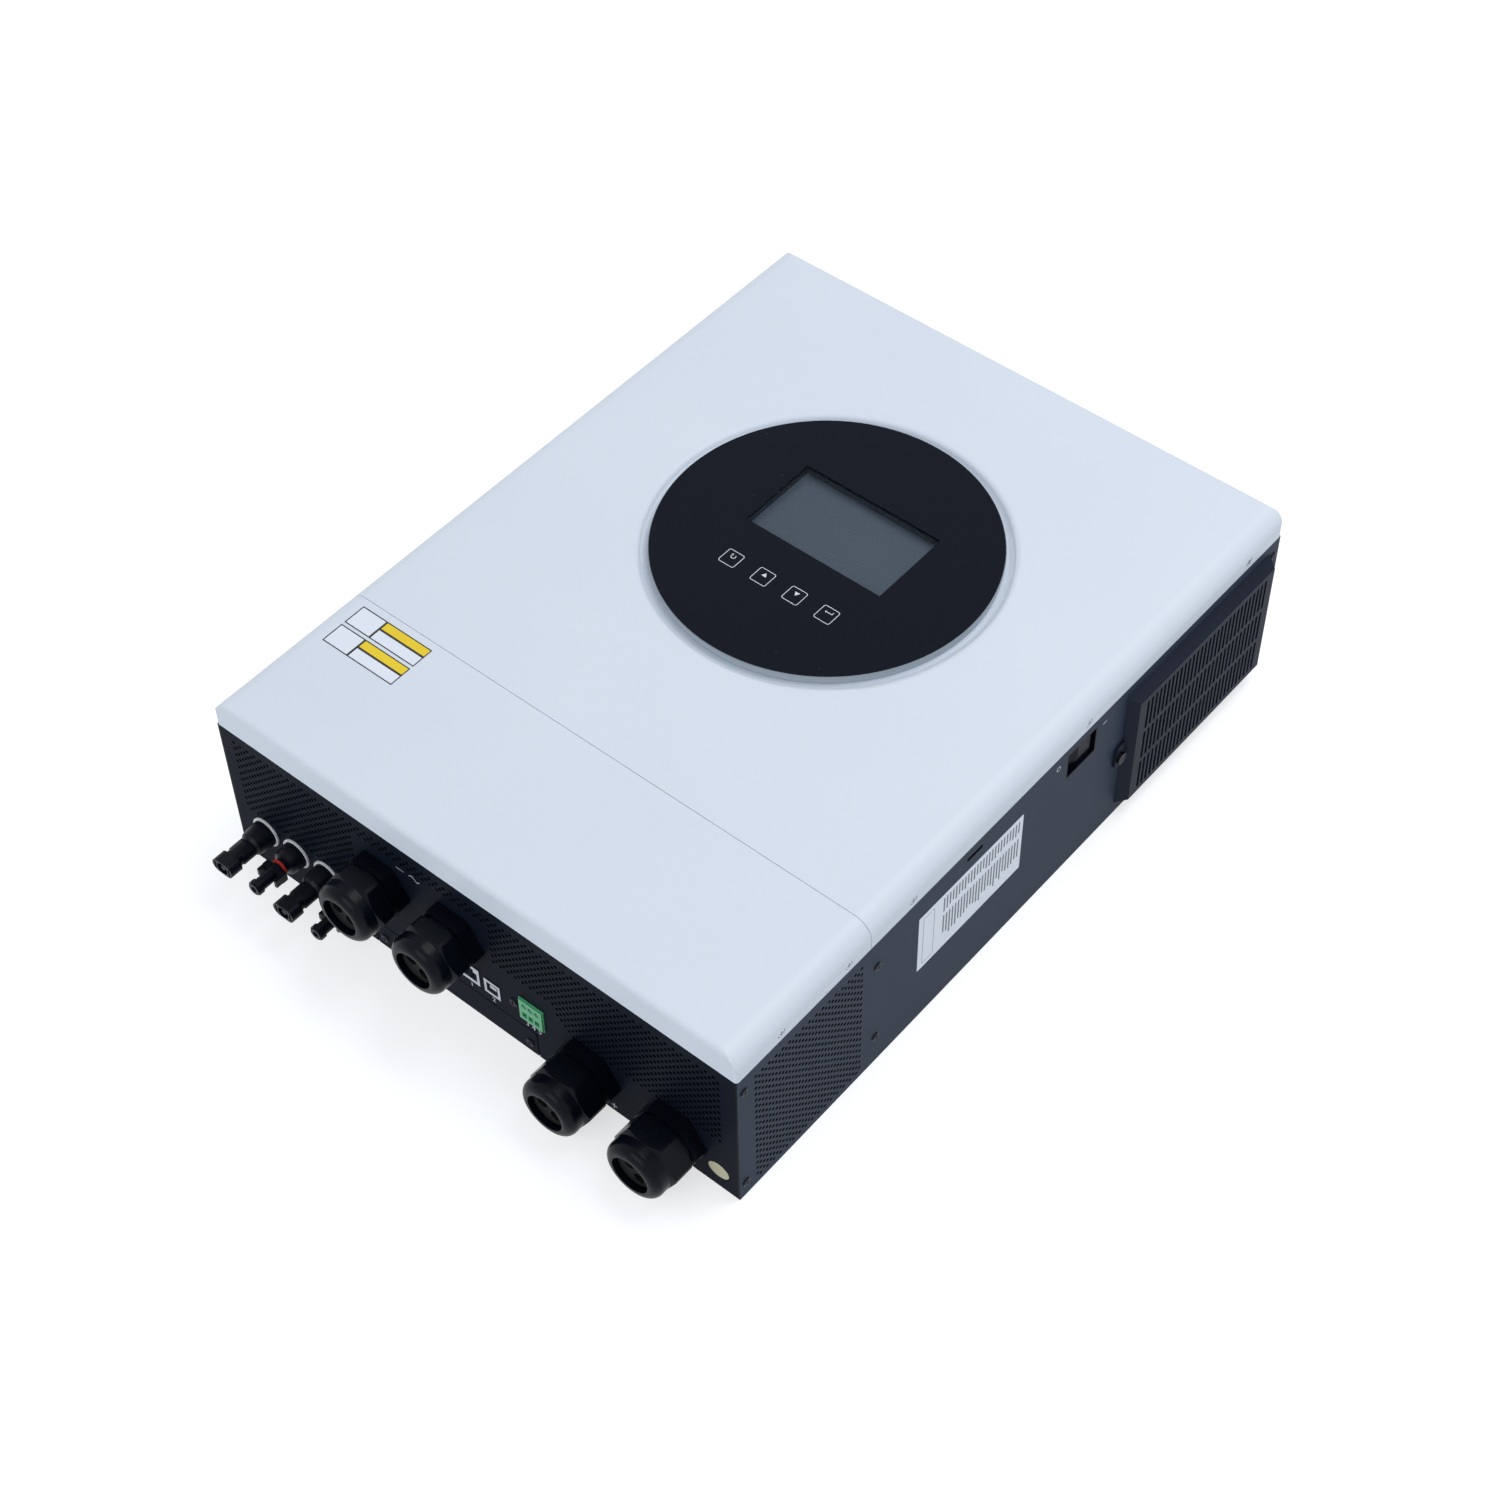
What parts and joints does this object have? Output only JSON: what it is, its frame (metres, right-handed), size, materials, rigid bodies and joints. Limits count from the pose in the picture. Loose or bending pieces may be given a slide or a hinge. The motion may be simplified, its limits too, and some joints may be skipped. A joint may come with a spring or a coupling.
{
  "type": "solar inverter",
  "caption": "Wall-hung solar inverter and charger: steel case with white front covers, round touch display, cable glands, solar connectors, ports, fans behind a dust cover.",
  "frame": {"origin": "centre of the rear face of the back plate; the unit lies on its back", "axes": "+Z out of the front cover, +Y away from the connector panel (up when hung), +X right as seen from the front"},
  "size_m": [0.4308, 0.5951, 0.1474],
  "materials": {
    "black_chassis_paint": "satin",
    "white_cover_paint": "satin",
    "zinc_plated_steel": "satin",
    "black_screws": "satin",
    "bright_screws": "satin",
    "black_glass": "gloss",
    "clear_window": "gloss",
    "dark_well": "matte",
    "lcd_grey": "satin",
    "circuit_board": "satin",
    "black_nylon": "satin",
    "black_rubber": "matte",
    "white_washer": "satin",
    "red_ring": "satin",
    "shield_metal": "satin",
    "green_terminal": "satin",
    "terminal_screws": "satin",
    "black_abs": "satin",
    "filter_foam": "matte",
    "heat_sink_aluminium": "satin",
    "black_component": "matte",
    "capacitor_sleeve": "gloss",
    "winding_tape": "satin",
    "copper": "satin"
  },
  "bodies": {
    "chassis": {"back_plate": "black_chassis_paint", "battery_bars": "copper", "battery_blocks": "black_abs", "blanking_plate": "black_chassis_paint", "board_legs": "zinc_plated_steel", "bus_capacitors": "capacitor_sleeve", "case_screws": "black_screws", "connector_panel": "black_chassis_paint", "control_board": "circuit_board", "corner_brackets": "zinc_plated_steel", "cover_rails": "zinc_plated_steel", "cover_screws": "bright_screws", "display_board": "circuit_board", "display_carrier": "dark_well", "display_glass": "black_glass", "display_window": "clear_window", "divider_plate": "zinc_plated_steel", "gland_bodies": "black_nylon", "gland_lock_nuts": "black_nylon", "gland_seals": "black_rubber", "lcd_module": "lcd_grey", "left_side_panel": "black_chassis_paint", "lower_fan_frame": "black_abs", "lower_front_cover": "white_cover_paint", "lower_heat_sink": "heat_sink_aluminium", "mains_terminal_block": "green_terminal", "network_jack": "shield_metal", "port_board": "circuit_board", "power_board": "circuit_board", "power_relays": "black_abs", "power_transistors": "black_component", "pv_lock_nuts": "black_nylon", "pv_red_rings": "red_ring", "pv_slim_connectors": "black_nylon", "pv_washers": "white_washer", "pv_wide_connectors": "black_nylon", "relay_header": "green_terminal", "right_side_panel": "black_chassis_paint", "switch_housing": "black_abs", "terminal_fasteners": "zinc_plated_steel", "top_end_panel": "black_chassis_paint", "toroid_chokes": "winding_tape", "touch_key_springs": "zinc_plated_steel", "transformers": "winding_tape", "upper_fan_frame": "black_abs", "upper_front_cover": "white_cover_paint", "upper_heat_sink": "heat_sink_aluminium", "usb_port": "shield_metal"},
    "power_rocker": {"power_rocker": "black_abs"},
    "lower_fan_rotor": {"lower_fan_rotor": "black_abs"},
    "upper_fan_rotor": {"upper_fan_rotor": "black_abs"},
    "dust_cover": {"dust_cover": "black_abs", "filter_foam": "filter_foam", "dust_cover_screw": "black_screws"},
    "relay_plug": {"relay_plug": "green_terminal", "relay_plug_screws": "terminal_screws"},
    "mains_input_gland_nut": {"mains_input_gland_nut": "black_nylon"},
    "mains_output_gland_nut": {"mains_output_gland_nut": "black_nylon"},
    "battery_positive_gland_nut": {"battery_positive_gland_nut": "black_nylon"},
    "battery_negative_gland_nut": {"battery_negative_gland_nut": "black_nylon"}
  },
  "joints": [
    {"name": "power_rocker_tilt", "type": "hinge", "parent": "chassis", "child": "power_rocker", "pos_m": [0.202, 0.05575, 0.1051], "axis": [0, 0, 1], "range_deg": [0, 16]},
    {"name": "lower_fan_spin", "type": "hinge", "parent": "chassis", "child": "lower_fan_rotor", "pos_m": [0.1945, 0.14395, 0.0625], "axis": [1, 0, 0], "continuous": true},
    {"name": "upper_fan_spin", "type": "hinge", "parent": "chassis", "child": "upper_fan_rotor", "pos_m": [0.1945, 0.22595, 0.0625], "axis": [1, 0, 0], "continuous": true},
    {"name": "dust_cover_lift", "type": "slide", "parent": "chassis", "child": "dust_cover", "axis": [1, 0, 0], "range_m": [0, 0.04]},
    {"name": "relay_plug_pull", "type": "slide", "parent": "chassis", "child": "relay_plug", "axis": [0, -1, 0], "range_m": [0, 0.013]},
    {"name": "mains_input_gland_turn", "type": "hinge", "parent": "chassis", "child": "mains_input_gland_nut", "pos_m": [-0.0746, -0.2968, 0.0746], "axis": [0, -1, 0], "continuous": true},
    {"name": "mains_output_gland_turn", "type": "hinge", "parent": "chassis", "child": "mains_output_gland_nut", "pos_m": [-0.0123, -0.2968, 0.0746], "axis": [0, -1, 0], "continuous": true},
    {"name": "battery_positive_gland_turn", "type": "hinge", "parent": "chassis", "child": "battery_positive_gland_nut", "pos_m": [0.0945, -0.2968, 0.029], "axis": [0, -1, 0], "continuous": true},
    {"name": "battery_negative_gland_turn", "type": "hinge", "parent": "chassis", "child": "battery_negative_gland_nut", "pos_m": [0.162, -0.2968, 0.029], "axis": [0, -1, 0], "continuous": true}
  ]
}
